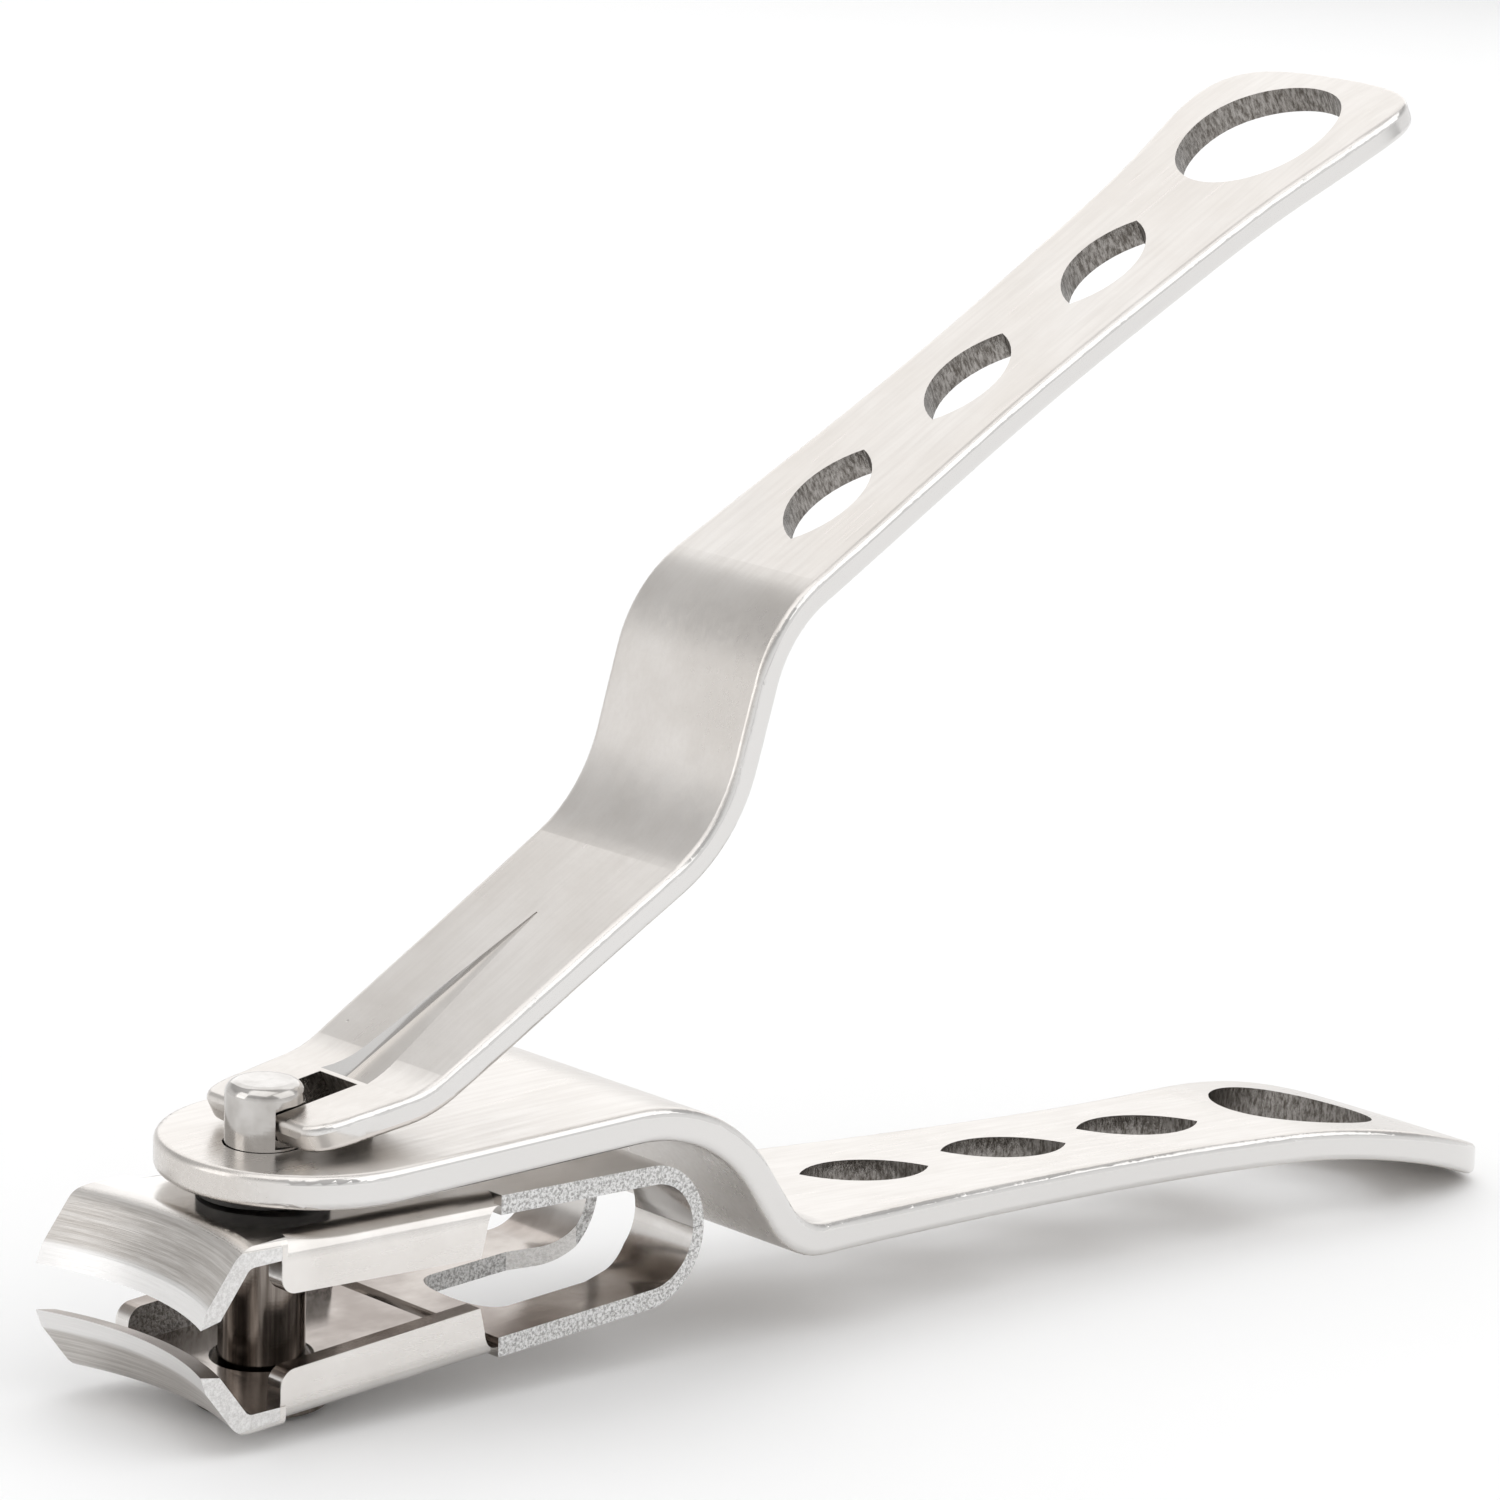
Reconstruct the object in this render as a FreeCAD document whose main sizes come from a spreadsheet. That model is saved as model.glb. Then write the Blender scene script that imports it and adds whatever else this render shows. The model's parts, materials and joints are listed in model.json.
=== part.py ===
import FreeCAD, Part
import math
import os

import Sketcher
from FreeCAD import Placement, Rotation, Vector

# A nail clipper with a swivelling cutting head and two long pierced handles.
#
# Every body is drawn in the clipper's own frame: the post's axis is Z, +X runs back along the
# handles, the blades are at -X, and Z = 0 is the underside of the base handle's flat plate.
# At the end the whole clipper is laid down on its post foot and the tip of its base handle.

# ---- driving dimensions, in millimetres and degrees -------------------------------------------

SIZES = {
    # base handle: one bent strip, its front end round and under the lever
    "plate_thickness": 1.9,
    "plate_round_radius": 8.2,
    "plate_round_centre": 3.0,
    "plate_flat_end": 19.5,
    "step_crest_radius": 10.5,
    "step_angle": 54.0,
    "step_run": 3.2,
    "step_foot_radius": 4.1,
    "base_slope": 3.8,
    "base_straight": 40.2,
    "base_tip_radius": 52.0,
    "base_tip_bend": 17.0,
    "base_tip_run": 9.0,
    "base_reach": 93.9,
    "base_edge_round": 0.45,
    "base_first_leaf": 44.3,
    "base_leaf_spacing": 11.35,
    "base_oval_at": 80.6,
    # lever: one bent strip with a forked front end, drawn with its handle level
    "lever_thickness": 1.6,
    "lever_open_angle": 27.5,
    "fork_corner_x": -6.49,
    "fork_corner_z": 2.68,
    "fork_slope": 20.3,
    "fork_length": 6.27,
    "fork_bend_radius": 6.6,
    "arm_slope": 1.5,
    "arm_length": 18.1,
    "rise_radius": 9.0,
    "rise_angle": 44.3,
    "rise_run": 4.6,
    "crest_radius": 7.0,
    "lever_straight": 45.3,
    "lever_tip_radius": 30.0,
    "lever_tip_bend": 25.0,
    "lever_tip_run": 9.0,
    "lever_reach": 88.4,
    "lever_edge_round": 0.4,
    "lever_first_leaf": 42.9,
    "lever_leaf_spacing": 12.0,
    "lever_oval_at": 81.0,
    "fork_half_width": 5.1,
    "fork_slot_half_width": 1.55,
    "fork_slot_back": -0.5,
    "dish_length": 15.4,
    "dish_depth": 1.2,
    "dish_half_width": 2.0,
    "fulcrum_x": 6.45,
    "fulcrum_z": 2.8,
    "fulcrum_radius": 0.85,
    # holes through both handles
    "leaf_half_length": 4.3,
    "leaf_half_width": 2.2,
    "leaf_slant": 14.0,
    "oval_half_length": 5.4,
    "oval_half_width": 4.7,
    # jaws: two mirrored halves of one folded sheet
    "jaw_middle": -6.0,
    "jaw_thickness": 1.1,
    "jaw_front_height": 5.1,
    "jaw_slope_start": -2.9,
    "bend_outer_radius": 4.1,
    "bend_inner_radius": 3.0,
    "bend_outer_centre": 21.45,
    "bend_inner_centre": 21.75,
    "jaw_half_width": 7.0,
    "strip_half_width": 6.75,
    "blade_curve_radius": 18.05,
    "blade_curve_centre": -26.3,
    "blade_edge_height": 1.28,
    "lip_angle": 54.0,
    "lip_bevel_angle": 70.0,
    "lip_bevel_length": 1.05,
    "lip_ground_angle": 12.0,
    "ridge_radius": 1.7,
    "flange_front": -4.35,
    "flange_back": 9.6,
    "flange_front_height": 2.1,
    "flange_back_height": 1.4,
    "flange_back_curve": 1.2,
    "flange_corner_radius": 0.9,
    "flange_bend_radius": 1.5,
    "ridge_corner_radius": 0.6,
    "upper_bore_radius": 2.42,
    "lower_bore_radius": 2.8,
    "spring_slot_front": 13.0,
    "spring_slot_half_width": 3.3,
    "spring_slot_back_half_width": 2.0,
    "spring_split": 0.02,
    # post and washer
    "shank_radius": 2.34,
    "neck_radius": 2.13,
    "plate_bore_radius": 2.22,
    "foot_radius": 3.6,
    "foot_bottom": -12.32,
    "foot_thickness": 0.9,
    "shoulder_height": -2.2,
    "head_underside": 4.27,
    "head_top": 5.3,
    "head_round": 0.7,
    "notch_front": -0.84,
    "notch_floor": 2.05,
    "web_half_width": 1.42,
    "washer_radius": 3.6,
    "washer_bore_radius": 2.5,
    "washer_thickness": 0.75,
    # how the clipper lies: tipped onto its post foot and the tip of its base handle
    "rest_tilt": 2.643,
    "rest_shift_x": -42.5599,
    "rest_shift_z": 12.4729,
}

BEYOND_HANDLES = 150
BEYOND_HEAD = 60

doc = FreeCAD.newDocument("nail_clipper")
sheet = doc.addObject("Spreadsheet::Sheet", "Sizes")
for row, (alias, value) in enumerate(SIZES.items(), start=1):
    sheet.set(f"A{row}", alias)
    sheet.set(f"B{row}", str(value))
    sheet.setAlias(f"B{row}", alias)
doc.recompute()


def size(alias):
    return float(sheet.get(alias))


# ---- helpers ------------------------------------------------------------------------------------

def polar(length, degrees):
    return Vector(math.cos(math.radians(degrees)), math.sin(math.radians(degrees)), 0) * length


def new_body(label):
    body = doc.addObject("PartDesign::Body", label)
    body.Label = label
    return body


def sketch_on(body, role, name):
    sketch = body.newObject("Sketcher::SketchObject", name)
    support = next(f for f in body.Origin.OriginFeatures if f.Role == role)
    sketch.AttachmentSupport = [(support, "")]
    sketch.MapMode = "FlatFace"
    return sketch


def line(a, b):
    return Part.LineSegment(Vector(a[0], a[1], 0), Vector(b[0], b[1], 0))


def closed_lines(points):
    return [line(a, b) for a, b in zip(points, points[1:] + points[:1])]


def arc_about(centre, radius, first, last):
    points = [centre + polar(radius, angle) for angle in (first, (first + last) / 2, last)]
    return Part.Arc(*points)


def strip_outline(start, heading, thickness, steps):
    """Closed outline of a bent strip, as lines and arcs.

    start is the strip's lower front corner and heading its first direction in degrees. A step
    is a length, or a pair (inner bend radius, turn in degrees, positive upwards).
    """
    lower = []
    upper = []
    here = Vector(start[0], start[1], 0)
    for step in steps:
        left = polar(1, heading + 90)
        if isinstance(step, tuple):
            inner_radius, turn = step
            side = 1 if turn > 0 else -1
            lower_radius = inner_radius + thickness if turn > 0 else inner_radius
            upper_radius = inner_radius if turn > 0 else inner_radius + thickness
            centre = here + left * (side * lower_radius)
            first = heading - 90 * side
            lower.append(arc_about(centre, lower_radius, first, first + turn))
            upper.append(arc_about(centre, upper_radius, first, first + turn))
            heading += turn
            here = centre + polar(lower_radius, first + turn)
        else:
            there = here + polar(step, heading)
            lower.append(line(here, there))
            upper.append(line(here + left * thickness, there + left * thickness))
            here = there
    left = polar(thickness, heading + 90)
    front = Vector(start[0], start[1], 0)
    front_left = upper[0].StartPoint if isinstance(upper[0], Part.LineSegment) else upper[0].value(0)
    return lower + upper + [line(front, front_left), line(here, here + left)]


def draw(sketch, pieces):
    for piece in pieces:
        sketch.addGeometry(piece, False)
    doc.recompute()


def smooth(points):
    curve = Part.BSplineCurve()
    curve.buildFromPoles([Vector(x, y, 0) for x, y in points], False, 3)
    return curve


def feature(body, kind, name, sketch, **settings):
    """Adds a feature that must change the body's volume."""
    before = body.Shape.Volume if body.Tip else 0.0
    item = body.newObject(f"PartDesign::{kind}", name)
    item.Profile = sketch
    for key, value in settings.items():
        if isinstance(value, str) and value.startswith("="):
            item.setExpression(key, value[1:])
        else:
            setattr(item, key, value)
    doc.recompute()
    change = body.Shape.Volume - before
    if abs(change) < 0.001:
        raise ValueError(f"{body.Label}: {name} changes nothing")
    return item


def sharp_edges(shape, wanted):
    """Names of the edges whose two faces meet at more than 30 degrees and that wanted() accepts."""
    names = []
    for number, edge in enumerate(shape.Edges, start=1):
        faces = shape.ancestorsOfType(edge, Part.Face)
        if len(faces) != 2:
            continue
        middle = edge.valueAt((edge.FirstParameter + edge.LastParameter) / 2)
        normals = [face.normalAt(*face.Surface.parameter(middle)) for face in faces]
        if normals[0].getAngle(normals[1]) > math.radians(30) and wanted(middle, normals):
            names.append(f"Edge{number}")
    return names


def faces_up_or_down(middle, normals):
    return max(abs(normal.z) for normal in normals) > 0.3


def round_edges(body, name, radius_alias, wanted):
    base = body.Tip
    names = sharp_edges(base.Shape, wanted)
    item = body.newObject("PartDesign::Fillet", name)
    item.Base = (base, names)
    item.setExpression("Radius", f"Sizes.{radius_alias}")
    doc.recompute()
    return item


def frame_of_cut(pieces, reach):
    """The pieces inside a large square, so that a pocket removes all that lies outside them."""
    corners = [(-reach, -reach), (reach, -reach), (reach, reach), (-reach, reach)]
    return pieces + closed_lines(corners)


def circle_about_post(body, name, radius_alias, height="0"):
    """A sketched circle round the post's axis, its radius and height bound to the spreadsheet."""
    sketch = sketch_on(body, "XY_Plane", name)
    sketch.setExpression("AttachmentOffset.Base.z", height)
    radius = size(radius_alias)
    circle = sketch.addGeometry(Part.Circle(Vector(0, 0, 0), Vector(0, 0, 1), radius), False)
    sketch.addConstraint(Sketcher.Constraint("Coincident", circle, 3, -1, 1))
    number = sketch.addConstraint(Sketcher.Constraint("Radius", circle, radius))
    sketch.setExpression(f"Constraints[{number}]", f"Sizes.{radius_alias}")
    doc.recompute()
    return sketch


def bore(body, radius_alias):
    circle = circle_about_post(body, "bore_circle", radius_alias)
    feature(body, "Pocket", "post_bore", circle, Type="ThroughAll", Midplane=True)


def both_sides(points):
    return [smooth(points), smooth([(x, -y) for x, y in points])]


def leaf(centre, slant):
    """A pointed oval: two arcs that meet at its ends."""
    half_length = size("leaf_half_length")
    half_width = size("leaf_half_width")
    middle = Vector(centre, 0, 0)
    ends = [middle + polar(half_length, slant), middle - polar(half_length, slant)]
    flank = polar(half_width, slant + 90)
    return [Part.Arc(ends[0], middle + flank, ends[1]), Part.Arc(ends[1], middle - flank, ends[0])]


def pierce_handle(body, first_leaf, spacing, oval_at, slant):
    """Three slanted leaf holes and one oval, in a row along the handle."""
    holes = sketch_on(body, "XY_Plane", "holes")
    pieces = []
    for number in range(3):
        pieces += leaf(first_leaf + number * spacing, slant)
    oval = Part.Ellipse(Vector(oval_at, 0, 0), size("oval_half_length"), size("oval_half_width"))
    draw(holes, pieces + [oval])
    feature(body, "Pocket", "handle_holes", holes, Type="ThroughAll", Midplane=True)


# ---- the pieces -----------------------------------------------------------------------------

def base_handle():
    body = new_body("base_handle")
    front = -7.0
    profile = sketch_on(body, "XZ_Plane", "side_profile")
    draw(profile, strip_outline((front, 0), 0, size("plate_thickness"), [
        size("plate_flat_end") - front,
        (size("step_crest_radius"), -size("step_angle")),
        size("step_run"),
        (size("step_foot_radius"), size("step_angle") - size("base_slope")),
        size("base_straight"),
        (size("base_tip_radius"), -size("base_tip_bend")),
        size("base_tip_run"),
    ]))
    feature(body, "Pad", "strip", profile, Midplane=True, Length="=4 * Sizes.plate_round_radius")

    radius = size("plate_round_radius")
    centre = size("plate_round_centre")
    flat_end = size("plate_flat_end")
    reach = size("base_reach")
    side = [(flat_end, radius), (29, radius), (38, 6.9), (55, 5.65), (68, 5.4), (78, 6.4)]
    side += [(reach - 8.2, 7.4), (reach, 5.3), (reach, 2.2), (reach, 0)]
    plan = sketch_on(body, "XY_Plane", "plan")
    outline = [arc_about(Vector(centre, 0, 0), radius, 90, 270)]
    outline += [line((centre, y), (flat_end, y)) for y in (radius, -radius)]
    draw(plan, frame_of_cut(outline + both_sides(side), BEYOND_HANDLES))
    feature(body, "Pocket", "plan_trim", plan, Type="ThroughAll", Midplane=True)
    round_edges(body, "edge_round", "base_edge_round", faces_up_or_down)

    bore(body, "plate_bore_radius")
    spacing = size("base_leaf_spacing")
    pierce_handle(body, size("base_first_leaf"), spacing, size("base_oval_at"), -size("leaf_slant"))
    return body


def lever():
    """Drawn with its handle level and its fulcrum at the origin."""
    body = new_body("lever")
    thickness = size("lever_thickness")
    profile = sketch_on(body, "XZ_Plane", "side_profile")
    start = (size("fork_corner_x"), size("fork_corner_z"))
    draw(profile, strip_outline(start, -size("fork_slope"), thickness, [
        size("fork_length"),
        (size("fork_bend_radius"), size("fork_slope") + size("arm_slope")),
        size("arm_length"),
        (size("rise_radius"), size("rise_angle")),
        size("rise_run"),
        (size("crest_radius"), -size("rise_angle") - size("arm_slope")),
        size("lever_straight"),
        (size("lever_tip_radius"), -size("lever_tip_bend")),
        size("lever_tip_run"),
    ]))
    feature(body, "Pad", "strip", profile, Midplane=True, Length="=4 * Sizes.fork_half_width")

    reach = size("lever_reach")
    fork = size("fork_half_width")
    prong_side = -3.2
    prong_tip = -6.2
    side = [(prong_side, fork), (2, fork + 0.5), (12, 5.5), (24, 5.9), (36, 6.0), (54, 5.0)]
    side += [(66, 5.6), (76, 6.0), (reach - 4.3, 8.1), (reach, 6.4), (reach, 1.2), (reach, 0)]
    slot = size("fork_slot_half_width")
    middle = (fork + slot) / 2
    outline = both_sides(side)
    outline += both_sides([(prong_side, fork), (prong_tip, fork), (prong_tip, middle)])
    outline.append(line((prong_tip, middle), (prong_tip, -middle)))
    plan = sketch_on(body, "XY_Plane", "plan")
    draw(plan, frame_of_cut(outline, BEYOND_HANDLES))
    feature(body, "Pocket", "plan_trim", plan, Type="ThroughAll", Midplane=True)
    round_edges(body, "edge_round", "lever_edge_round", faces_up_or_down)

    slot_front = prong_tip - 1
    slot_back = size("fork_slot_back")
    fork_slot = sketch_on(body, "XY_Plane", "fork_slot_plan")
    draw(fork_slot, closed_lines([
        (slot_front, slot), (slot_front, -slot), (slot_back, -slot), (slot_back, slot)]))
    feature(body, "Pocket", "fork_slot", fork_slot, Type="ThroughAll", Midplane=True)
    press_dish(body)
    pierce_handle(body, size("lever_first_leaf"), size("lever_leaf_spacing"), size("lever_oval_at"),
                  size("leaf_slant"))
    return body


def press_dish(body):
    """The pressed triangle behind the slot: a dish above, a bulge below, a round fulcrum in front."""
    front = size("fork_slot_back")
    apex = front + size("dish_length")
    half = size("dish_half_width")
    tight = half - 0.6
    front_under = 0.45
    apex_under = 0.3
    sliver = 0.05

    def section(name, at_x, outline):
        sketch = sketch_on(body, "YZ_Plane", name)
        sketch.AttachmentOffset = Placement(Vector(0, 0, at_x), Rotation())
        draw(sketch, closed_lines(outline))
        return sketch

    def trapezium(top_half, bottom_half, top, bottom):
        return [(-top_half, top), (-bottom_half, bottom), (bottom_half, bottom), (top_half, top)]

    above = front_under + size("lever_thickness") + 1
    floor = front_under + size("lever_thickness") - size("dish_depth")
    rim = 0.35
    dish_front = section("dish_front", front + rim, trapezium(half + 0.4, tight, above, floor))
    apex_floor = apex_under + size("lever_thickness") - sliver
    dish_back = section("dish_back", apex, trapezium(sliver * 3, sliver, above, apex_floor))
    feature(body, "SubtractiveLoft", "dish", dish_front, Sections=[dish_back], Ruled=True)

    lowest = -0.7
    bulge_front = section("bulge_front", front, trapezium(half, tight, front_under + 0.1, lowest))
    bulge_apex = trapezium(sliver * 2, sliver, apex_under + 0.1, apex_under - sliver)
    bulge_back = section("bulge_back", apex, bulge_apex)
    feature(body, "AdditiveLoft", "bulge", bulge_front, Sections=[bulge_back], Ruled=True)

    fulcrum = sketch_on(body, "XZ_Plane", "fulcrum_circle")
    radius = size("fulcrum_radius")
    circle = fulcrum.addGeometry(Part.Circle(Vector(0, 0, 0), Vector(0, 0, 1), radius), False)
    fulcrum.addConstraint(Sketcher.Constraint("Coincident", circle, 3, -1, 1))
    number = fulcrum.addConstraint(Sketcher.Constraint("Radius", circle, radius))
    fulcrum.setExpression(f"Constraints[{number}]", "Sizes.fulcrum_radius")
    doc.recompute()
    feature(body, "Pad", "fulcrum", fulcrum, Midplane=True, Length="=2 * Sizes.dish_half_width - 1")


def round_top_sides(body, name, radius, half_width, top, tilt):
    """Rounds both long outer corners of a jaw, parallel to its back, which slopes by tilt degrees."""
    side = 1 if tilt > 0 else -1
    inset = radius * (1 - math.sqrt(0.5))
    sketch = sketch_on(body, "YZ_Plane", name)
    sketch.AttachmentOffset = Placement(Vector(0, 0, 0), Rotation(Vector(1, 0, 0), tilt))
    pieces = []
    for hand in (1, -1):
        start = (hand * (half_width - radius), top)
        halfway = (hand * (half_width - inset), top - side * inset)
        end = (hand * half_width, top - side * radius)
        beyond = hand * (half_width + 1)
        above = top + side
        pieces.append(Part.Arc(*[Vector(y, z, 0) for y, z in (start, halfway, end)]))
        pieces += [line(end, (beyond, end[1])), line((beyond, end[1]), (beyond, above)),
                   line((beyond, above), (start[0], above)), line((start[0], above), start)]
    draw(sketch, pieces)
    feature(body, "Pocket", name + "_cut", sketch, Type="ThroughAll", Midplane=True)


def jaw(label, side, bore_alias):
    """Half of the folded cutter: side is 1 for the upper jaw and -1 for the lower one."""
    body = new_body(label)
    middle = size("jaw_middle")
    thickness = size("jaw_thickness")
    height = size("jaw_front_height")
    slope_start = size("jaw_slope_start")

    def at(x, level):
        return Vector(x, middle + side * level, 0)

    # the blade's cross-section, worked out from its cutting edge upwards
    centre_x = size("blade_curve_centre")
    lip = size("lip_angle")
    ridge = size("ridge_radius")
    inner_ridge = ridge - thickness
    edge = Vector(centre_x + size("blade_curve_radius"), size("blade_edge_height"), 0)
    shoulder = edge + polar(size("lip_bevel_length"), size("lip_bevel_angle"))
    climb = height - ridge * (1 - math.cos(math.radians(lip))) - shoulder.y
    ridge_start = shoulder + polar(climb / math.sin(math.radians(lip)), lip)
    ridge_centre = ridge_start + polar(ridge, lip - 90)
    inner_start = ridge_centre + polar(inner_ridge, lip + 90)
    ground = size("lip_ground_angle")
    back_of_lip = inner_start - edge
    across = back_of_lip.x * math.sin(math.radians(lip)) - back_of_lip.y * math.cos(math.radians(lip))
    heel = edge + polar(across / math.sin(math.radians(lip - ground)), ground)

    # a block between the flanges, hollowed out from inside
    outer = size("bend_outer_radius")
    inner = size("bend_inner_radius")
    bend = size("bend_outer_centre")
    inner_bend = size("bend_inner_centre")
    slope = (height - outer) / (bend - slope_start)
    front_x = size("flange_front")
    back_x = size("flange_back")
    curve = size("flange_back_curve")
    diagonal = math.sqrt(0.5)
    half = size("jaw_half_width")

    def back_level(x):
        return height - slope * max(0.0, x - slope_start)

    rear_x = back_x + curve
    rear_level = back_level(rear_x) - thickness / 2
    low_back = at(back_x - 0.35, size("flange_back_height"))
    fall = (size("flange_front_height") - size("flange_back_height")) / (back_x - front_x)
    front_level = size("flange_front_height")
    corner = size("flange_corner_radius")
    corner_top = at(front_x, front_level + corner)
    corner_inset = corner * (1 - diagonal)
    corner_middle = at(front_x + corner_inset, front_level + corner_inset)
    corner_end = at(front_x + corner, front_level - fall * corner)
    rear_curve = at(back_x, rear_level - curve)
    rear_middle = at(rear_x - curve * diagonal, rear_level - curve * (1 - diagonal))
    flange = sketch_on(body, "XZ_Plane", "flange_profile")
    draw(flange, [
        line(at(front_x, height), at(slope_start, height)),
        line(at(slope_start, height), at(rear_x, back_level(rear_x))),
        line(at(rear_x, back_level(rear_x)), at(rear_x, rear_level)),
        Part.Arc(at(rear_x, rear_level), rear_middle, rear_curve),
        line(rear_curve, low_back),
        line(low_back, corner_end),
        Part.Arc(corner_end, corner_middle, corner_top),
        line(corner_top, at(front_x, height)),
    ])
    feature(body, "Pad", "channel", flange, Midplane=True, Length="=2 * Sizes.jaw_half_width")
    hollow = sketch_on(body, "XZ_Plane", "hollow_profile")
    draw(hollow, closed_lines([
        at(front_x - 1, height - thickness), at(slope_start, height - thickness),
        at(rear_x + 1, back_level(rear_x + 1) - thickness), at(rear_x + 1, 0), at(front_x - 1, 0),
    ]))
    feature(body, "Pocket", "hollow", hollow, Midplane=True,
            Length="=2 * (Sizes.jaw_half_width - Sizes.jaw_thickness)")

    tilt = side * math.degrees(math.atan(slope))
    top = (middle + side * back_level(0)) * math.cos(math.radians(tilt))
    round_top_sides(body, "flange_bends", size("flange_bend_radius"), half, top, tilt)

    # the curved blade, swept about a vertical axis in front of it
    def ridge_arc(radius, first, last):
        points = [ridge_centre + polar(radius, a) for a in (first, (first + last) / 2, last)]
        return Part.Arc(*[at(point.x, point.y) for point in points])

    def join(a, b):
        return line(at(a.x, a.y), at(b.x, b.y))

    top_end = Vector(slope_start, height, 0)
    under_end = Vector(slope_start, height - thickness, 0)
    blade = sketch_on(body, "XZ_Plane", "blade_profile")
    draw(blade, [
        join(edge, shoulder),
        join(shoulder, ridge_start),
        ridge_arc(ridge, lip + 90, 90),
        join(ridge_centre + polar(ridge, 90), top_end),
        join(top_end, under_end),
        join(under_end, ridge_centre + polar(inner_ridge, 90)),
        ridge_arc(inner_ridge, 90, lip + 90),
        join(inner_start, heel),
        join(heel, edge),
    ])
    blade.addGeometry(line((centre_x, -height), (centre_x, height)), True)
    feature(body, "Revolution", "blade", blade, ReferenceAxis=(blade, ["Axis0"]), Midplane=True,
            Angle=56)
    sides = sketch_on(body, "XY_Plane", "side_trim")
    ahead = -12
    behind = 30
    kept = closed_lines([(ahead, -half), (behind, -half), (behind, half), (ahead, half)])
    draw(sides, frame_of_cut(kept, BEYOND_HEAD))
    feature(body, "Pocket", "side_trim_cut", sides, Type="ThroughAll", Midplane=True)
    round_top_sides(body, "ridge_corners", size("ridge_corner_radius"), half, top, tilt)

    # the springy strip behind the flanges and this jaw's half of the bend
    split = size("spring_split") / 2
    outer_back = bend + math.sqrt(outer ** 2 - split ** 2)
    inner_back = inner_bend + math.sqrt(inner ** 2 - split ** 2)
    strip = sketch_on(body, "XZ_Plane", "strip_profile")
    draw(strip, [
        line(at(rear_x, back_level(rear_x)), at(bend, outer)),
        Part.Arc(at(bend, outer), at(bend + outer * diagonal, outer * diagonal), at(outer_back, split)),
        line(at(outer_back, split), at(inner_back, split)),
        Part.Arc(at(inner_back, split), at(inner_bend + inner * diagonal, inner * diagonal),
                 at(inner_bend, inner)),
        line(at(inner_bend, inner), at(rear_x, back_level(rear_x) - thickness)),
        line(at(rear_x, back_level(rear_x) - thickness), at(rear_x, back_level(rear_x))),
    ])
    feature(body, "Pad", "strip", strip, Midplane=True, Length="=2 * Sizes.strip_half_width")

    bore(body, bore_alias)
    slot_front = size("spring_slot_front")
    wide = size("spring_slot_half_width")
    tight = size("spring_slot_back_half_width")
    taper_start = 20
    taper_end = 24
    past_bend = 30
    slot = sketch_on(body, "XY_Plane", "spring_slot_plan")
    shoulder_x = slot_front + 1.6
    outline = [smooth([(shoulder_x, wide), (slot_front, wide), (slot_front, 0)])]
    outline.append(smooth([(slot_front, 0), (slot_front, -wide), (shoulder_x, -wide)]))
    back = [(shoulder_x, -wide), (taper_start, -wide), (taper_end, -tight), (past_bend, -tight)]
    back += [(x, -y) for x, y in reversed(back)]
    outline += [line(a, b) for a, b in zip(back, back[1:])]
    draw(slot, outline)
    feature(body, "Pocket", "spring_slot", slot, Type="ThroughAll", Midplane=True)
    return body


def disc(body, name, radius_alias, bottom, height):
    circle = circle_about_post(body, name + "_circle", radius_alias, bottom)
    feature(body, "Pad", name, circle, Length="=" + height)


def post():
    body = new_body("post")
    foot = "Sizes.foot_bottom"
    shoulder = "Sizes.shoulder_height"
    disc(body, "foot", "foot_radius", foot, "Sizes.foot_thickness")
    disc(body, "shank", "shank_radius", foot, f"{shoulder} - {foot}")
    disc(body, "neck", "neck_radius", shoulder, f"Sizes.head_top - {shoulder}")
    top = size("head_top")
    round_edges(body, "head_edge", "head_round", lambda middle, normals: abs(middle.z - top) < 0.01)

    notches = sketch_on(body, "XY_Plane", "notch_plan")
    notches.setExpression("AttachmentOffset.Base.z", "Sizes.notch_floor")
    near = size("web_half_width")
    far = size("neck_radius") + 1
    front = size("notch_front")
    pieces = []
    for sign in (1, -1):
        inside = sign * near
        outside = sign * far
        pieces += closed_lines([(front, inside), (far, inside), (far, outside), (front, outside)])
    draw(notches, pieces)
    feature(body, "Pocket", "fork_notches", notches, Reversed=True,
            Length="=Sizes.head_underside - Sizes.notch_floor")
    return body


def swivel_washer():
    body = new_body("swivel_washer")
    disc(body, "ring", "washer_radius", "-Sizes.washer_thickness", "Sizes.washer_thickness")
    bore(body, "washer_bore_radius")
    return body


# ---- build, stand the clipper up, check and write ---------------------------------------------

clipper = [
    base_handle(),
    swivel_washer(),
    post(),
    lever(),
    jaw("upper_jaw", 1, "upper_bore_radius"),
    jaw("lower_jaw", -1, "lower_bore_radius"),
]
toward_back_up = Vector(0, -1, 0)
stance = Placement(
    Vector(size("rest_shift_x"), 0, size("rest_shift_z")),
    Rotation(toward_back_up, size("rest_tilt")))
opened = Placement(
    Vector(size("fulcrum_x"), 0, size("fulcrum_z")),
    Rotation(toward_back_up, size("lever_open_angle")))
for body in clipper:
    body.Placement = stance * opened if body.Label == "lever" else stance
doc.recompute()

for item in doc.Objects:
    if "Invalid" in item.State or "Error" in item.State:
        raise ValueError(f"{item.Label} did not build: {item.State}")
os.makedirs("parts", exist_ok=True)
for body in clipper:
    if body.Shape.isNull() or not body.Shape.isValid() or len(body.Shape.Solids) != 1:
        raise ValueError(f"{body.Label} is not one sound solid")
    body.Shape.exportStep(f"parts/{body.Label}.step")
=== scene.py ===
import json
import math

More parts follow.
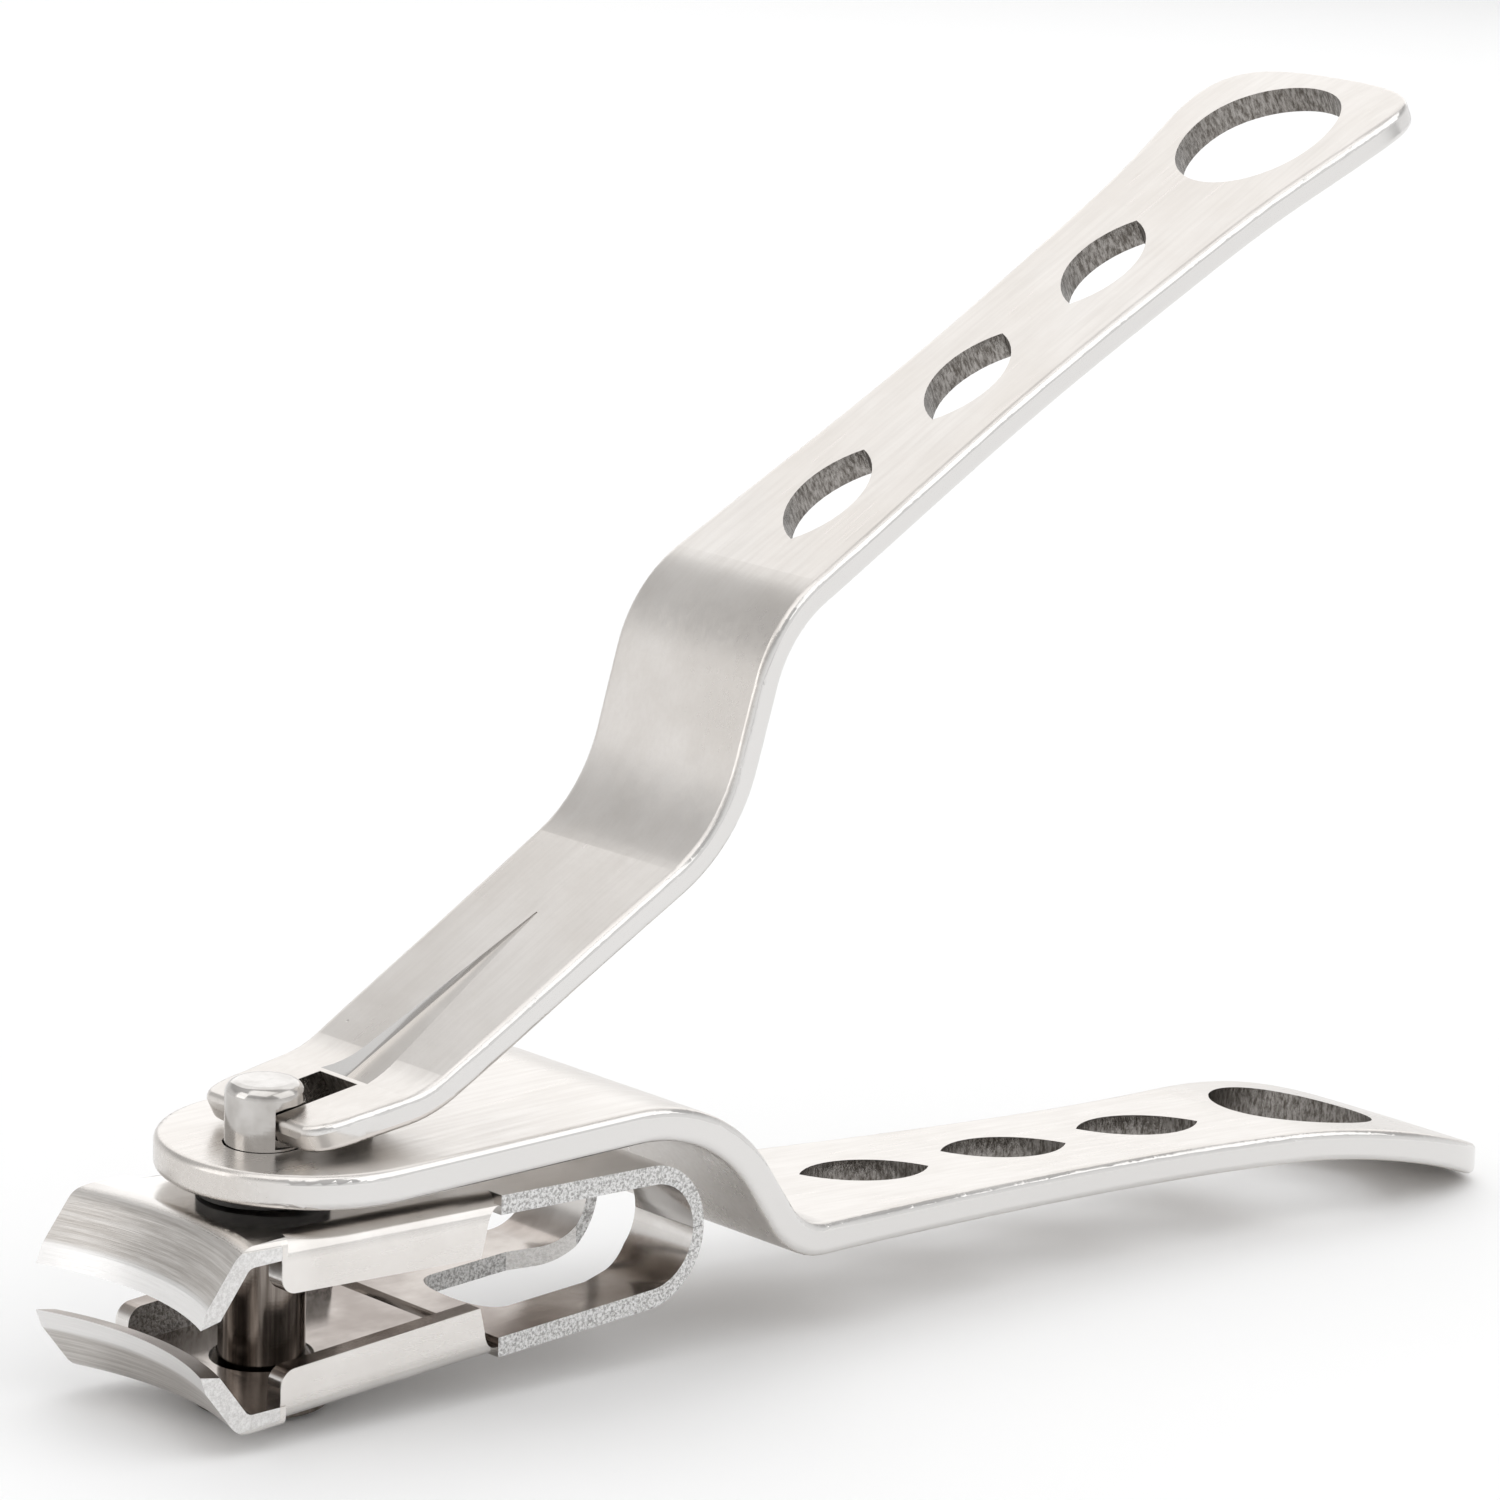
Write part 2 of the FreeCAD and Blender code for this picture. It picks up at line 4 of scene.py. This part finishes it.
import bpy
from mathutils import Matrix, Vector


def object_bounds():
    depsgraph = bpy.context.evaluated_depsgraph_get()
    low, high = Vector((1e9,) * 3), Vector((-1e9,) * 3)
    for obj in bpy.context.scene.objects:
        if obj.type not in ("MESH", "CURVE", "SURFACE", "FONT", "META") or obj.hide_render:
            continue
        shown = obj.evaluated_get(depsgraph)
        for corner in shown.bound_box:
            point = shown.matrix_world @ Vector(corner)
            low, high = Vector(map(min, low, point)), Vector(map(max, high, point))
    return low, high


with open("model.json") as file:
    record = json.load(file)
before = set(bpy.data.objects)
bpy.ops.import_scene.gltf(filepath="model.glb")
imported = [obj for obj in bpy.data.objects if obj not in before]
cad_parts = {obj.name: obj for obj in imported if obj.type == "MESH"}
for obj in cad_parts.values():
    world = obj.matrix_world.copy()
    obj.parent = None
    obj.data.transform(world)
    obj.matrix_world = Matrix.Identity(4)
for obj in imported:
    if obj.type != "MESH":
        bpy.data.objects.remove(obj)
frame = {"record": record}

cad_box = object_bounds()

# ---- where things are, in metres --------------------------------------------------------------

joints = {joint["name"]: joint for joint in frame["record"]["behaviour"]["joints"]}
swivel_centre = Vector(joints["head_swivel"]["pos_m"])      # on the post's axis, under the plate
fulcrum = Vector(joints["lever_press"]["pos_m"])
post_axis = Vector(joints["head_swivel"]["axis"])
tilt = math.atan2(-post_axis.x, post_axis.z)

OPEN_LEVER_DEGREES = 27.5       # from the base handle's plate to the lever's long straight
lever_lean = tilt + math.radians(OPEN_LEVER_DEGREES)

BLADE_CURVE_AHEAD = 0.0263      # the centre of the blades' curve, ahead of the post
BLADE_EDGE_RADIUS = 0.01805     # from that centre to the cutting edge, at mid-width
GROUND_WIDTH = 0.0006           # the bright band along the edge: its ground bevel, brightened further by a painted highlight
GROUND_SOLID = 0.6              # the share of that band that is fully bright
LIP_BACK_RADIUS = 0.0212        # where the lip meets the top of the jaw
LIP_BLEND = 0.0012              # the distance over which the lip's grinding fades in
FLANGE_SIDE = 0.00695           # just inside half the width across the flanges
FLANGE_FRONT = -0.0043
FLANGE_BACK = 0.0109
FLANGE_BLEND = 0.0001
POST_SHADE_TOP = 0.003        # the post's painted shade fades out this far above the swivel's centre

# Wheel marks follow the blade's curve: fine across it and drawn far out along it.
ACROSS_ARCS = 60.0
ALONG_ARCS = 0.03
MILLIMETRES = 1000.0            # in a metre

# Stretches along a strip, from its own origin, where walls were punched through it.
HOLE_BLEND = 0.00005
BASE_HOLES = {"first": 0.038, "last": 0.0868, "half_width": 0.0049}
LEVER_HOLES = {"first": 0.0375, "last": 0.0880, "half_width": 0.0049}
FORK_SLOT = {"first": -0.0068, "last": -0.00045, "half_width": 0.0016}

# Painted shade: dark and pale brown for the shade and dark reflections inside the jaws.
INSIDE_SHADE_DARK = (0.25, 0.21, 0.185, 1.0)
INSIDE_SHADE_PALE = (0.50, 0.455, 0.42, 1.0)
# Painted shade on the post's lower part, with lighter streaks in it.
POST_SHADE_DARK = (0.13, 0.11, 0.095, 1.0)
POST_SHADE_STREAK = (0.34, 0.30, 0.27, 1.0)


# ---- small helpers for shader nodes -------------------------------------------------------------

class Shader:
    """Builds one material's node tree with short calls."""

    def __init__(self, name):
        self.material = bpy.data.materials.new(name)
        self.material.use_nodes = True
        self.tree = self.material.node_tree
        self.bsdf = self.tree.nodes["Principled BSDF"]

    def node(self, kind, inputs=None, **settings):
        made = self.tree.nodes.new("ShaderNode" + kind)
        for key, value in settings.items():
            setattr(made, key, value)
        for key, value in (inputs or {}).items():
            self.put(made.inputs[key], value)
        return made

    def put(self, socket, value):
        if isinstance(value, bpy.types.NodeSocket):
            self.tree.links.new(value, socket)
        else:
            socket.default_value = value

    def math(self, operation, a, b=0.0):
        return self.node("Math", {0: a, 1: b}, operation=operation).outputs[0]

    def ramp(self, value, low, high, dark=0.0, light=1.0):
        """Maps value smoothly: low becomes dark and high becomes light."""
        limits = {"Value": value, "From Min": low, "From Max": high, "To Min": dark, "To Max": light}
        made = self.node("MapRange", limits, interpolation_type="SMOOTHSTEP")
        return made.outputs["Result"]

    def blend(self, amount, first, second):
        made = self.node("Mix", data_type="RGBA")
        self.put(made.inputs["Factor"], amount)
        self.put(made.inputs["A"], first)
        self.put(made.inputs["B"], second)
        return made.outputs["Result"]

    def noise(self, where, scale, detail=4.0, roughness=0.55):
        made = self.node("TexNoise", {"Vector": where, "Scale": scale, "Detail": detail,
                                      "Roughness": roughness})
        return made.outputs["Fac"]

    def place(self, origin=swivel_centre, lean=tilt):
        """A piece's own frame: its origin at a given point, leaning back from level."""
        coordinates = self.node("TexCoord").outputs["Object"]
        moved = self.node("Mapping", {"Vector": coordinates, "Location": -origin}).outputs["Vector"]
        turned = self.node("Mapping", {"Vector": moved, "Rotation": (0.0, lean, 0.0)})
        return turned.outputs["Vector"]

    def facing(self, lean=tilt):
        """The surface's direction in the same frame, as separate x, y and z."""
        inputs = {"Vector": self.node("TexCoord").outputs["Normal"], "Rotation": (0.0, lean, 0.0)}
        turned = self.node("Mapping", inputs, vector_type="VECTOR")
        return self.node("SeparateXYZ", {"Vector": turned.outputs["Vector"]})

    def times(self, a, b):
        return self.math("MULTIPLY", a, b)

    def plus(self, a, b):
        return self.math("ADD", a, b)

    def absolute(self, value):
        return self.math("ABSOLUTE", value)

    def between(self, value, low, high, soft):
        """1 between low and high, 0 outside."""
        return self.times(self.ramp(value, low, low + soft), self.ramp(value, high, high - soft))

    def stretched(self, where, along=1.0, through=1.0):
        """Coordinates that draw a pattern out along x or z, where the factor is under 1."""
        return self.node("Mapping", {"Vector": where, "Scale": (along, 1.0, through)}).outputs["Vector"]

    def join(self, **axes):
        return self.node("CombineXYZ", axes).outputs["Vector"]

    def bump(self, height, distance, strength=1.0, under=None):
        inputs = {"Height": height, "Distance": distance, "Strength": strength}
        if under is not None:
            inputs["Normal"] = under
        return self.node("Bump", inputs).outputs["Normal"]

    def finish(self, colour, roughness, normal):
        self.bsdf.inputs["Metallic"].default_value = 1.0
        self.put(self.bsdf.inputs["Base Color"], colour)
        self.put(self.bsdf.inputs["Roughness"], roughness)
        self.put(self.bsdf.inputs["Normal"], normal)
        return self.material


def grey(value, warmth=0.0):
    """A grey, a little warm: more red and less blue by the warmth."""
    return (value + warmth, value, value - warmth, 1.0)


# ---- materials ----------------------------------------------------------------------------------

def handle_steel(name, face_tone, face_roughness, side_roughness, origin, lean, holes, slot=None):
    """Satin stainless strip: mottled, finely tumbled faces, smoother rims and punched walls painted dark
    as shade in the holes.

    holes is the stretch of the strip where holes are punched. slot is the same for the slot that
    runs out of its front end.
    """
    shader = Shader(name)
    where = shader.place(origin, lean)
    facing = shader.facing(lean)
    parts = shader.node("SeparateXYZ", {"Vector": where})
    sideways = shader.absolute(facing.outputs["Y"])
    on_side = shader.ramp(sideways, 0.35, 0.92)
    upright = shader.ramp(shader.absolute(facing.outputs["Z"]), 0.6, 0.3)
    across = shader.absolute(parts.outputs["Y"])

    def within(first, last, half_width):
        along = shader.between(parts.outputs["X"], first, last, HOLE_BLEND)
        return shader.times(along, shader.ramp(across, half_width, half_width - HOLE_BLEND))

    walls = shader.times(within(**holes), upright)
    if slot:
        walls = shader.math("MAXIMUM", walls, within(**slot))

    mottle = shader.noise(where, scale=130.0, detail=5.0, roughness=0.6)
    grain = shader.noise(shader.stretched(where, along=0.35), scale=5200.0, detail=3.0)
    strokes = shader.noise(shader.stretched(where, along=0.06), scale=3000.0, detail=2.0)
    pits = shader.ramp(shader.noise(where, scale=900.0, detail=2.0), 0.76, 0.82)
    punched = shader.noise(shader.stretched(where, through=0.3), scale=5200.0, roughness=0.75)

    dull = grey(face_tone - 0.09, 0.034)
    clear = grey(face_tone, 0.028)
    stroke_tone = grey(face_tone - 0.18, 0.035)
    side_tone = grey(face_tone + 0.02, 0.014)
    faces = shader.blend(shader.ramp(mottle, 0.3, 0.75), dull, clear)
    faces = shader.blend(shader.ramp(strokes, 0.25, 0.8, light=0.22), faces, stroke_tone)
    colour = shader.blend(on_side, faces, side_tone)
    colour = shader.blend(shader.times(pits, 0.5), colour, grey(0.32, 0.015))
    # Painted shade: the punched walls of the holes and slot are painted near-black for the shade inside
    # them, with lighter punched striations.
    wall_shade_tone = shader.blend(shader.ramp(punched, 0.35, 0.65), grey(0.10, 0.012), grey(0.36, 0.02))
    colour = shader.blend(walls, colour, wall_shade_tone)

    roughness = shader.plus(shader.ramp(mottle, 0.25, 0.8, dark=-0.04, light=0.05),
                            shader.ramp(strokes, 0.2, 0.8, dark=-0.04, light=0.04))
    by_place = shader.ramp(on_side, 0.0, 1.0, face_roughness, side_roughness)
    roughness = shader.plus(roughness, by_place)
    roughness = shader.plus(roughness, shader.times(walls, 0.15))

    unpolished = shader.ramp(on_side, 0.0, 1.0, dark=1.0, light=0.1)
    hammered = shader.bump(shader.times(mottle, unpolished), distance=0.00012, strength=0.25)
    fine = shader.bump(shader.times(grain, unpolished), distance=0.000006, strength=0.5, under=hammered)
    pitted = shader.bump(shader.times(pits, -1.0), distance=0.00002, strength=0.4, under=fine)
    normal = shader.bump(shader.times(punched, walls), distance=0.00004, strength=0.8, under=pitted)
    return shader.finish(colour, roughness, normal)


def jaw_steel(name, inside_sign):
    """Folded cutter: ground lip, polished back, speckled sheared rims and painted dark brown shade on the
    inside.

    inside_sign is 1 where the jaw's inner face looks up, and -1 where it looks down.
    """
    shader = Shader(name)
    where = shader.place()
    facing = shader.facing()
    parts = shader.node("SeparateXYZ", {"Vector": where})
    x, y, z = (parts.outputs[axis] for axis in "XYZ")

    outermost = shader.ramp(shader.absolute(y), FLANGE_SIDE - FLANGE_BLEND, FLANGE_SIDE)
    behind_blade = shader.ramp(x, FLANGE_FRONT - FLANGE_BLEND, FLANGE_FRONT)
    before_bend = shader.ramp(x, FLANGE_BACK, FLANGE_BACK - FLANGE_BLEND)
    on_flange = shader.times(shader.times(outermost, behind_blade), before_bend)
    sheared = shader.ramp(shader.absolute(facing.outputs["Y"]), 0.93, 0.985)
    sheared = shader.times(sheared, shader.math("SUBTRACT", 1.0, on_flange))
    inside = shader.ramp(shader.times(facing.outputs["Z"], inside_sign), 0.35, 0.8)

    ahead = shader.plus(x, BLADE_CURVE_AHEAD)
    radius = shader.math("SQRT", shader.plus(shader.times(ahead, ahead), shader.times(y, y)))
    angle = shader.math("ARCTAN2", y, ahead)
    on_lip = shader.ramp(radius, LIP_BACK_RADIUS, LIP_BACK_RADIUS - LIP_BLEND)
    band_back = BLADE_EDGE_RADIUS + GROUND_WIDTH
    edge_band_highlight = shader.ramp(radius, band_back, BLADE_EDGE_RADIUS + GROUND_WIDTH * GROUND_SOLID)
    arcs = shader.join(X=shader.times(radius, ACROSS_ARCS), Y=shader.times(angle, ALONG_ARCS),
                       Z=shader.times(z, ACROSS_ARCS))
    wheel = shader.noise(arcs, scale=90.0, detail=5.0, roughness=0.75)
    fine_wheel = shader.noise(arcs, scale=240.0, detail=3.0, roughness=0.7)
    polish = shader.noise(shader.stretched(where, along=0.08), scale=2600.0, detail=3.0)
    cloud = shader.noise(where, scale=160.0)
    speckle = shader.noise(where, scale=5200.0, detail=3.0, roughness=0.75)
    coarse = shader.noise(where, scale=2300.0, detail=2.0, roughness=0.6)

    back = shader.blend(shader.ramp(cloud, 0.3, 0.75), grey(0.62, 0.026), grey(0.76, 0.022))
    lip = shader.blend(shader.ramp(wheel, 0.34, 0.66), grey(0.42, 0.028), grey(0.62, 0.026))
    # Painted light: the flanges are painted lighter than the back for the light they catch and reflect.
    painted_lit_flanks = shader.blend(shader.ramp(cloud, 0.3, 0.75), grey(0.74, 0.032), grey(0.84, 0.028))
    colour = shader.blend(on_lip, shader.blend(on_flange, back, painted_lit_flanks), lip)
    # Partly painted highlight: the ground band along the edge is painted near-white, brighter than its
    # grind alone.
    colour = shader.blend(shader.times(edge_band_highlight, 0.7), colour, grey(0.88, 0.004))
    # Painted shade: faces turned into the jaw are painted dark brown for the shade and dark reflections
    # inside it.
    painted_inside_shade = shader.blend(shader.ramp(cloud, 0.3, 0.7), INSIDE_SHADE_DARK, INSIDE_SHADE_PALE)
    colour = shader.blend(inside, colour, painted_inside_shade)
    rim = shader.blend(shader.ramp(speckle, 0.36, 0.60), grey(0.34, 0.008), grey(0.78, 0.004))
    lip_end = shader.blend(shader.ramp(speckle, 0.3, 0.7), grey(0.66, 0.012), grey(0.86, 0.008))
    rim = shader.blend(behind_blade, lip_end, rim)
    colour = shader.blend(sheared, colour, rim)

    smooth = shader.plus(shader.ramp(polish, 0.2, 0.8, dark=0.12, light=0.2),
                         shader.ramp(cloud, 0.2, 0.8, dark=-0.02, light=0.04))
    smooth = shader.plus(smooth, shader.times(on_flange, 0.12))
    ground = shader.ramp(wheel, 0.2, 0.8, dark=0.28, light=0.42)
    roughness = shader.plus(shader.times(smooth, shader.math("SUBTRACT", 1.0, on_lip)),
                            shader.times(ground, on_lip))
    roughness = shader.plus(roughness, shader.times(sheared, 0.22))

    lip_height = shader.times(shader.plus(wheel, fine_wheel), on_lip)
    scored = shader.bump(lip_height, distance=0.00002, strength=0.8)
    brushed = shader.bump(polish, distance=0.000002, strength=0.5, under=scored)
    depth = shader.ramp(behind_blade, 0.0, 1.0, dark=0.25, light=1.0)
    torn = shader.times(shader.plus(speckle, coarse), shader.times(sheared, depth))
    normal = shader.bump(torn, distance=0.00004, strength=0.9, under=brushed)
    return shader.finish(colour, roughness, normal)


def turned_steel(name):
    """The post: turned and polished, with faint rings and long drawn streaks, and painted dark shade low
    down.
    """
    shader = Shader(name)
    where = shader.place()
    parts = shader.node("SeparateXYZ", {"Vector": where})
    angle = shader.math("ARCTAN2", parts.outputs["Y"], parts.outputs["X"])
    height = shader.times(parts.outputs["Z"], MILLIMETRES)
    around = shader.join(X=shader.times(angle, 0.12), Z=height)
    upwards = shader.join(X=shader.times(angle, 3.0), Z=shader.times(height, 0.05))
    rings = shader.noise(around, scale=7.0, detail=3.0)
    streaks = shader.noise(upwards, scale=2.2)
    cloud = shader.noise(where, scale=500.0)
    # Painted shade: the post is painted dark low down, fading to bright steel higher up.
    above_painted_shade = shader.ramp(parts.outputs["Z"], 0.0, POST_SHADE_TOP)

    dark = shader.blend(shader.ramp(streaks, 0.3, 0.7), POST_SHADE_DARK, POST_SHADE_STREAK)
    bright = shader.blend(shader.ramp(cloud, 0.3, 0.7), grey(0.42, 0.022), grey(0.58, 0.02))
    colour = shader.blend(above_painted_shade, dark, bright)
    roughness = shader.plus(shader.ramp(rings, 0.2, 0.8, dark=0.08, light=0.16),
                            shader.ramp(cloud, 0.2, 0.8, light=0.06))
    normal = shader.bump(rings, distance=0.000006, strength=0.25)
    return shader.finish(colour, roughness, normal)


def dark_washer_and_shade(name):
    """A dark, matt, slightly greasy ring; its near-black is partly its own colour and partly painted
    shade under the plate.
    """
    shader = Shader(name)
    worn = shader.noise(shader.place(), scale=700.0)
    # Partly painted shade: the near-black stands for the washer's own dark colour and for the shade under
    # the plate.
    colour = shader.blend(shader.ramp(worn, 0.35, 0.75), grey(0.018, 0.001), grey(0.06, 0.004))
    roughness = shader.ramp(worn, 0.2, 0.8, dark=0.38, light=0.6)
    material = shader.finish(colour, roughness, shader.bump(worn, distance=0.00002, strength=0.5))
    shader.bsdf.inputs["Metallic"].default_value = 0.0
    return material


def dress(node, material):
    for slot in bpy.data.objects[node].material_slots:
        slot.material = material


dress("base_handle", handle_steel("base_satin_steel", face_tone=0.71, face_roughness=0.30,
                                  side_roughness=0.07, origin=swivel_centre, lean=tilt, holes=BASE_HOLES))
dress("lever", handle_steel("lever_satin_steel", face_tone=0.71, face_roughness=0.32,
                            side_roughness=0.12, origin=fulcrum, lean=lever_lean, holes=LEVER_HOLES,
                            slot=FORK_SLOT))
dress("upper_jaw", jaw_steel("upper_jaw_ground_steel", inside_sign=-1.0))
dress("lower_jaw", jaw_steel("lower_jaw_ground_steel", inside_sign=1.0))
dress("post", turned_steel("post_turned_steel"))
dress("swivel_washer", dark_washer_and_shade("washer_dark"))


# ---- floor, light and camera --------------------------------------------------------------------

FLOOR_SIZE = 6.0
FLOOR_GAP = 0.0001              # keeps the floor just clear of the clipper's lowest point
LIGHTS_AIM = (0.0, 0.0, 0.03)

SENSOR_WIDTH = 36.0             # in millimetres, like the lens
LENS = 159.2
CAMERA_PLACE = (-0.25825, -0.26059, 0.10856)
CAMERA_DEGREES = (78.019, -3.683, -42.924)


def floor():
    bpy.ops.mesh.primitive_plane_add(size=FLOOR_SIZE, location=(0.0, 0.0, cad_box[0].z - FLOOR_GAP))
    plane = bpy.context.object
    plane.name = "pale_floor"
    shader = Shader("pale_floor_paint")
    cloud = shader.noise(shader.node("TexCoord").outputs["Object"], scale=3.0, detail=2.0)
    shader.put(shader.bsdf.inputs["Base Color"], shader.blend(cloud, grey(0.93), grey(0.96)))
    shader.bsdf.inputs["Roughness"].default_value = 0.85
    plane.data.materials.append(shader.material)


def softbox(name, where, size, power):
    """A rectangular light aimed at the clipper, with its size in metres and power in watts."""
    light = bpy.data.lights.new(name, "AREA")
    light.shape = "RECTANGLE"
    light.size, light.size_y = size
    light.energy = power
    lamp = bpy.data.objects.new(name, light)
    lamp.location = where
    lamp.rotation_euler = (Vector(LIGHTS_AIM) - Vector(where)).to_track_quat("-Z", "Y").to_euler()
    bpy.context.collection.objects.link(lamp)


def surroundings():
    """A pale room, a little darker half-way up its walls. The stops pair a height with a tone."""
    world = bpy.data.worlds.new("pale_room")
    bpy.context.scene.world = world
    world.use_nodes = True
    tree = world.node_tree
    place = tree.nodes.new("ShaderNodeTexCoord")
    split = tree.nodes.new("ShaderNodeSeparateXYZ")
    bands = tree.nodes.new("ShaderNodeValToRGB")
    tree.links.new(place.outputs["Generated"], split.inputs[0])
    tree.links.new(split.outputs["Z"], bands.inputs[0])
    tree.links.new(bands.outputs["Color"], tree.nodes["Background"].inputs["Color"])
    stops = [(0.0, 0.95), (0.28, 0.80), (0.45, 0.52), (0.62, 0.60), (1.0, 0.72)]
    ramp = bands.color_ramp
    while len(ramp.elements) < len(stops):
        ramp.elements.new(0.5)
    for element, (height, tone) in zip(ramp.elements, stops):
        element.position = height
        element.color = grey(tone)
    tree.nodes["Background"].inputs["Strength"].default_value = 1.0


def camera():
    """The camera's place and lens, recovered from the perspective of the clipper's own edges."""
    data = bpy.data.cameras.new("camera")
    data.sensor_width = SENSOR_WIDTH
    data.lens = LENS
    data.clip_start = 0.01
    data.clip_end = 20.0
    eye = bpy.data.objects.new("camera", data)
    eye.location = CAMERA_PLACE
    eye.rotation_euler = [math.radians(angle) for angle in CAMERA_DEGREES]
    bpy.context.collection.objects.link(eye)
    bpy.context.scene.camera = eye


floor()
softbox("key_softbox", where=(-0.25, -0.1, 0.75), size=(0.7, 0.7), power=1.3)
softbox("back_softbox", where=(0.45, 0.45, 0.5), size=(0.9, 0.8), power=1.7)
softbox("front_softbox", where=(0.3, -0.5, 0.55), size=(0.8, 0.6), power=1.3)
softbox("left_softbox", where=(-0.6, 0.25, 0.3), size=(0.35, 0.5), power=0.6)
surroundings()
camera()

bpy.context.scene.view_settings.view_transform = "Standard"
